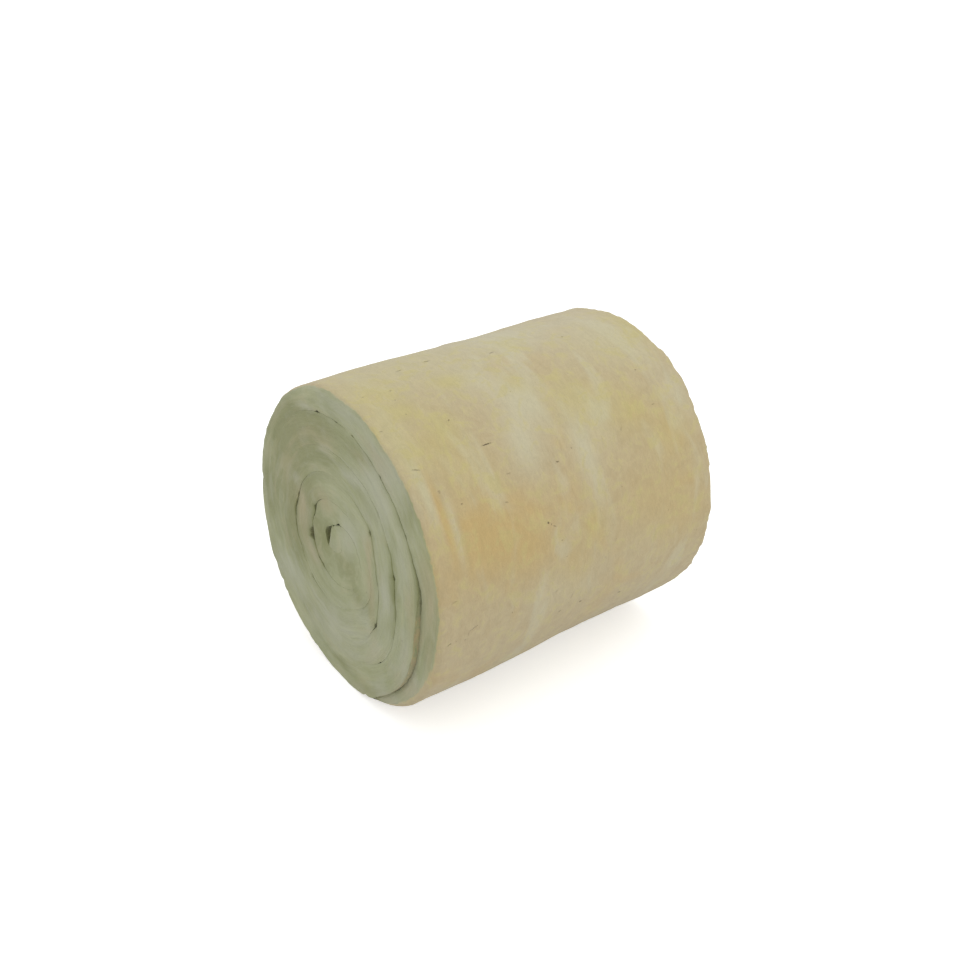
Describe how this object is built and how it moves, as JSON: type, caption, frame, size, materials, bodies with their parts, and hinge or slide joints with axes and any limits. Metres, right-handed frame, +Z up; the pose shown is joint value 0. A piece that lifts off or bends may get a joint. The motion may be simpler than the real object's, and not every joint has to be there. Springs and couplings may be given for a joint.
{
  "type": "insulation roll",
  "caption": "Soft mineral wool blanket wound into a roll and lying on its side, with the spiral of its turns showing on both ends.",
  "frame": {"origin": "on the floor, under the middle of the roll", "axes": "+X along the roll's axis, +Z up; the end at -X is the one that the picture shows"},
  "size_m": [0.6, 0.563, 0.5629],
  "materials": {
    "mineral_wool": "matte"
  },
  "bodies": {
    "root": {"wound_blanket": "mineral_wool"}
  },
  "joints": []
}
